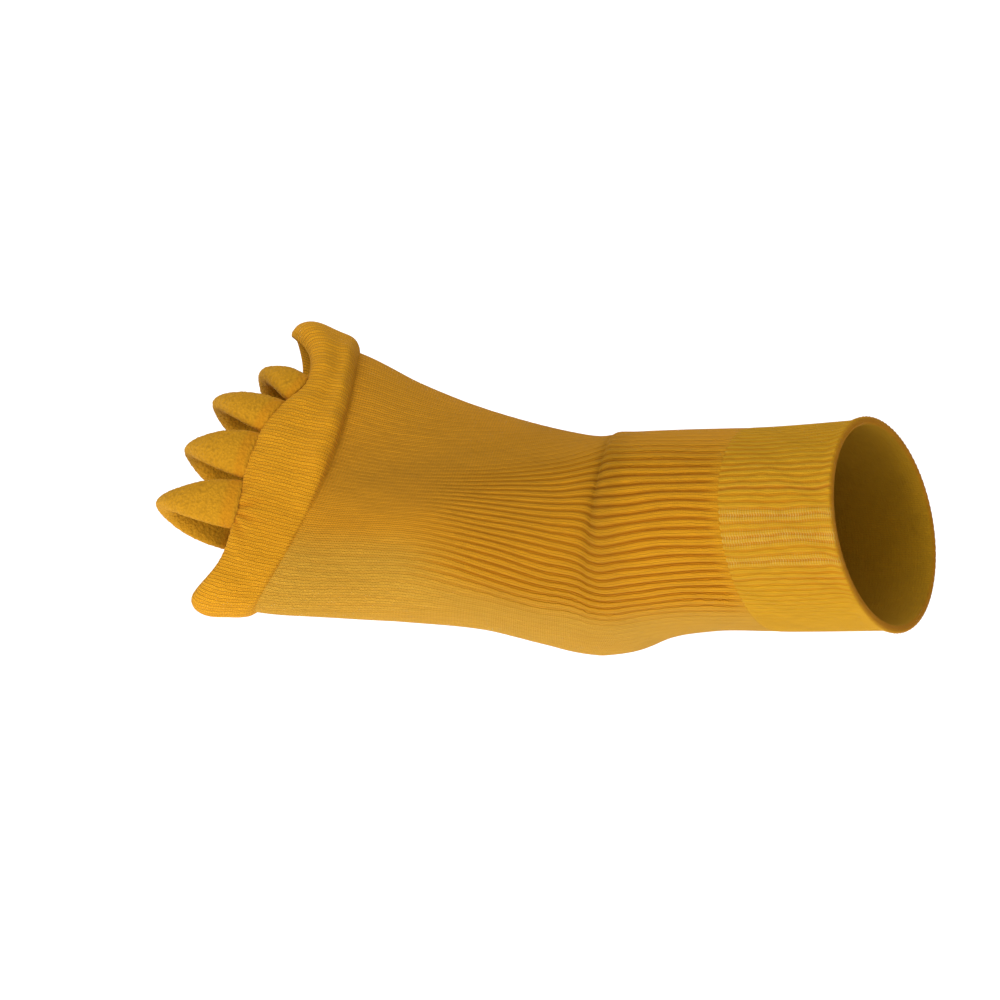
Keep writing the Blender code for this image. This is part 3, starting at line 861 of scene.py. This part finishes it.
def toe_band(look):
    columns, rows = BAND_RIB_COUNT * BAND_COLUMNS_PER_RIB, 28
    piece, column, row = wrapped_grid("padded_toe_band", columns, rows)
    profile = round_curve(BAND_PROFILE, rows)
    shares = np.arange(columns) / columns
    points = np.empty((rows, columns, 3))
    for k, (back, pad) in enumerate(profile):
        depth = pad * (swell(shares, back) if pad > 0.0 else BAND_SWELL_IN)
        depth = depth * np.where(depth > 0.0, band_thinning(shares, back), 1.0)
        lift, _ = band_folds(shares, np.full(columns, back))
        place = -FOOT_REACH + back * BAND_LENGTH
        points[k] = ring(place, shares, depth + lift * max(pad, 0.0), 1.0 - ease(back))
    closed = np.concatenate([points, points[:1]])
    steps = np.linalg.norm(np.diff(closed[:, ::8], axis=0), axis=2).mean(axis=1)
    along = np.concatenate([[0.0], np.cumsum(steps)])
    place_vertices(piece, closed[row, column % columns])
    write_uv(piece, column * BAND_WALES_PER_RIB / BAND_COLUMNS_PER_RIB, along[row] / FINE_COURSE)
    backs = np.append(profile[:, 0], profile[0, 0])
    # fold carries painted shade for the gathered folds.
    folds = band_folds(shares[column % columns], backs[row])[1]
    write_attribute(piece, "fold", folds)
    write_attribute(piece, "back", backs[row])
    pads = np.append(profile[:, 1], profile[0, 1])
    phase = column / BAND_COLUMNS_PER_RIB
    grooves = (0.5 + 0.5 * np.cos(2.0 * math.pi * phase)) * (pads[row] > 0.0)
    write_attribute(piece, "groove", grooves)
    close_grid(piece)
    back = np.empty(len(piece.data.vertices), dtype=np.float32)
    piece.data.attributes["back"].data.foreach_get("value", back)
    fill_pad(piece, look, ease((back - 0.8) / 0.15))
    subdivide(piece, 1)
    groove = np.empty(len(piece.data.vertices), dtype=np.float32)
    piece.data.attributes["groove"].data.foreach_get("value", groove)
    move_along_normals(piece, -look.band_rib_depth * groove)
    return piece


def rim_points(share, side, across, height, sink):
    """Points at the band's front edge, about one place on it, sunk into the band."""
    shares = share + side * across / perimeter(-FOOT_REACH)
    points = ring(-FOOT_REACH, shares, height, 1.0)
    return points + section_axes(section(-FOOT_REACH))[2] * sink


def loop_rings(loop, around, angles, sink):
    """Rings of a padded loop from the top of the band, between two toes, to its sole."""
    outward, upward, along = section_axes(section(-FOOT_REACH))
    fan = math.radians(loop.fan)
    ahead = outward * math.sin(fan) - along * math.cos(fan)
    side = outward * math.cos(fan) + along * math.sin(fan)
    sole_share = (0.5 - loop.share) % 1.0
    zero = np.zeros(1)
    top = rim_points(loop.share, 1.0, zero, zero, sink)[0]
    sole = rim_points(sole_share, -1.0, zero, zero, sink)[0]
    middle = (top + sole) / 2.0
    rings = []
    for angle in angles:
        rise, reach = math.sin(angle), math.cos(angle)
        seat = (top, 1.0, loop.share) if rise > 0 else (sole, -1.0, sole_share)
        foot, direction, foot_share = seat
        centre = middle + (foot - middle) * abs(rise) + ahead * loop.reach * LOOP_REACH * reach
        seat_width = loop.width * LOOP_HALF_WIDTH
        width = blend(LOOP_NOSE_HALF_WIDTH, seat_width, abs(rise) ** LOOP_TAPER)
        across = width * np.cos(around)
        height = LOOP_HALF_THICKNESS * np.sin(around)
        normal = upward * rise + ahead * reach
        free = centre + np.outer(across, side) + np.outer(height, normal)
        flat_free = foot + np.outer(across, side) + np.outer(height, direction * upward)
        seated = rim_points(foot_share, direction, across, height, sink)
        rings.append(free + (seated - flat_free) * onset(abs(rise), LOOP_SEAT))
    return np.array(rings)


def toe_loop(name, loop, look):
    columns, rows = 24, 44
    piece, column, row = wrapped_grid(name, columns, rows)
    around = np.arange(columns) * 2.0 * math.pi / columns
    angles = np.linspace(0.5, -0.5, rows - 1) * math.pi
    rings = loop_rings(loop, around, angles, 1.2 * MM)
    first, last = rings[0].mean(axis=0), rings[-1].mean(axis=0)
    ends = [np.tile(point, (1, columns, 1)) for point in (first, last)]
    points = np.concatenate([ends[0], rings, ends[1]])
    along = np.clip(np.arange(rows + 1) - 1, 0, rows - 2) / (rows - 2)
    place_vertices(piece, points[row, column % columns])
    write_uv(piece, column / columns, along[row])
    from_end = np.minimum(along, 1.0 - along)
    # A darker ring near each end of the loop, where it goes into the band.
    write_attribute(piece, "end_ring", 0.45 * bump(from_end[row], 0.035, 0.018))
    write_attribute(piece, "from_end", from_end[row])
    close_grid(piece)
    held = np.empty(len(piece.data.vertices), dtype=np.float32)
    piece.data.attributes["from_end"].data.foreach_get("value", held)
    fill_pad(piece, look, 1.0 - ease(held / 0.08))
    subdivide(piece, 2)
    pile = [noise.noise(vertex.co * 900.0) for vertex in piece.data.vertices]
    move_along_normals(piece, look.terry_height * np.array(pile))
    return piece


# Operators

class TOESOCK_OT_body(bpy.types.Operator):
    """Build the ribbed body over foot, heel and ankle."""

    bl_idname = "toesock.body"
    bl_label = "Build sock body"

    def execute(self, context):
        look = context.scene.toe_sock_look
        under_band = -FOOT_REACH + BAND_LENGTH - 5.0 * MM
        places = even_places(under_band, LEG_REACH - CUFF_LENGTH, 124)
        piece = knit_tube("ribbed_sock_body", places, (0.3 * MM, 0.7 * MM, 0.0), RIB_COUNT,
                          COLUMNS_PER_RIB, body_relief, look)
        finish_piece(piece, ribbed_cotton(look), "body_knit", "sock_body")
        return {"FINISHED"}


class TOESOCK_OT_cuff(bpy.types.Operator):
    """Build the elastic cuff round the leg."""

    bl_idname = "toesock.cuff"
    bl_label = "Build leg cuff"

    def execute(self, context):
        look = context.scene.toe_sock_look
        places = np.linspace(LEG_REACH - CUFF_LENGTH, LEG_REACH - 1.0 * MM, 41)
        piece = knit_tube("elastic_leg_cuff", places,
                          (0.1 * MM, 1.0 * MM, LIP_SHADE), CUFF_RIB_COUNT,
                          CUFF_COLUMNS_PER_RIB, cuff_relief, look)
        finish_piece(piece, elastic_cuff(look), "cuff_knit", "leg_cuff")
        return {"FINISHED"}


class TOESOCK_OT_band(bpy.types.Operator):
    """Build the padded band round the open front."""

    bl_idname = "toesock.band"
    bl_label = "Build toe band"

    def execute(self, context):
        look = context.scene.toe_sock_look
        piece = finish_piece(toe_band(look), band_knit(look), "band_knit", "toe_band")
        return {"FINISHED"}


class TOESOCK_OT_loops(bpy.types.Operator):
    """Build the padded loops that part the toes."""

    bl_idname = "toesock.loops"
    bl_label = "Build toe loops"

    def execute(self, context):
        look = context.scene.toe_sock_look
        material = soft_terry(look)
        for number, loop in enumerate(LOOPS, start=1):
            piece = toe_loop(f"terry_toe_loop_{number}", loop, look)
            finish_piece(piece, material, "loop_terry", f"toe_divider_{number}")
        return {"FINISHED"}


def camera_axes():
    """The camera's right, up and back."""
    azimuth, elevation = math.radians(CAMERA_AZIMUTH), math.radians(CAMERA_ELEVATION)
    right = Vector((math.cos(azimuth), math.sin(azimuth), 0.0))
    back = Vector((math.sin(azimuth) * math.cos(elevation),
                   -math.cos(azimuth) * math.cos(elevation), math.sin(elevation)))
    return right, back.cross(right), back


def add_light(name, place, aim, size, energy, colour):
    bpy.ops.object.light_add(type="AREA", location=place)
    light = bpy.context.object
    light.name = name
    light.data.shape = "DISK"
    light.data.size = size
    light.data.energy = energy
    light.data.color = colour
    direction = Vector(aim) - Vector(place)
    light.rotation_euler = direction.to_track_quat("-Z", "Y").to_euler()
    return light


class TOESOCK_OT_stage(bpy.types.Operator):
    """Set up the floor, the lights and the camera."""

    bl_idname = "toesock.stage"
    bl_label = "Set up stage"

    def execute(self, context):
        look = context.scene.toe_sock_look
        scene = context.scene
        right, up, back = camera_axes()
        aim = right * CAMERA_SHIFT_RIGHT + up * CAMERA_SHIFT_UP
        bpy.ops.object.select_all(action="DESELECT")
        bpy.ops.mesh.primitive_plane_add(size=12.0, location=(0.0, 0.0, -FLOOR_DROP))
        floor = context.object
        floor.name = "floor"
        material, tree = empty_material("plain_floor")
        shader = node(tree, "ShaderNodeBsdfPrincipled", {
            "Base Color": rgba(look.floor_colour), "Roughness": 0.9, "Specular IOR Level": 0.1,
            "Emission Color": (1.0, 1.0, 1.0, 1.0), "Emission Strength": 0.35})
        node(tree, "ShaderNodeOutputMaterial", {"Surface": shader.outputs[0]})
        floor.data.materials.append(material)
        key = add_light("key_light", aim + back * 0.7 - up * 0.9 - right * 0.35, aim, 0.6, 10.0,
                        (1.0, 0.98, 0.95))
        fill = add_light("fill_light", aim + back * 0.9 + up * 0.7 - right * 0.6, aim, 0.9, 9.0,
                         (0.96, 0.98, 1.0))
        bpy.ops.object.camera_add()
        camera = context.object
        camera.name = "photo_camera"
        camera.data.lens = CAMERA_LENS
        camera.data.sensor_width = 36.0
        turn = Matrix((right, up, back)).transposed().to_4x4()
        camera.matrix_world = Matrix.Translation(aim + back * CAMERA_DISTANCE) @ turn
        scene.camera = camera
        world = bpy.data.worlds.new("pale_room")
        world.use_nodes = True
        world.node_tree.nodes["Background"].inputs["Color"].default_value = (1.0, 1.0, 1.0, 1.0)
        world.node_tree.nodes["Background"].inputs["Strength"].default_value = 0.55
        scene.world = world
        scene.view_settings.view_transform = "Standard"
        return {"FINISHED"}


class TOESOCK_PT_panel(bpy.types.Panel):
    """Lists the sock's sizes, colours and operators."""

    bl_idname = "TOESOCK_PT_panel"
    bl_label = "Toe Sock"
    bl_space_type = "VIEW_3D"
    bl_region_type = "UI"
    bl_category = "Toe Sock"

    def draw(self, context):
        look = context.scene.toe_sock_look
        for name in ToeSockLook.__annotations__:
            self.layout.prop(look, name)
        for operator in OPERATORS:
            self.layout.operator(operator.bl_idname)


OPERATORS = (TOESOCK_OT_body, TOESOCK_OT_cuff, TOESOCK_OT_band, TOESOCK_OT_loops,
             TOESOCK_OT_stage)
CLASSES = (ToeSockLook,) + OPERATORS + (TOESOCK_PT_panel,)


def register():
    for item in CLASSES:
        bpy.utils.register_class(item)
    bpy.types.Scene.toe_sock_look = bpy.props.PointerProperty(type=ToeSockLook)


def unregister():
    del bpy.types.Scene.toe_sock_look
    for item in reversed(CLASSES):
        bpy.utils.unregister_class(item)


def main():
    register()
    bpy.ops.toesock.body()
    bpy.ops.toesock.cuff()
    bpy.ops.toesock.band()
    bpy.ops.toesock.loops()
    bpy.ops.toesock.stage()


if __name__ == "__main__":
    main()
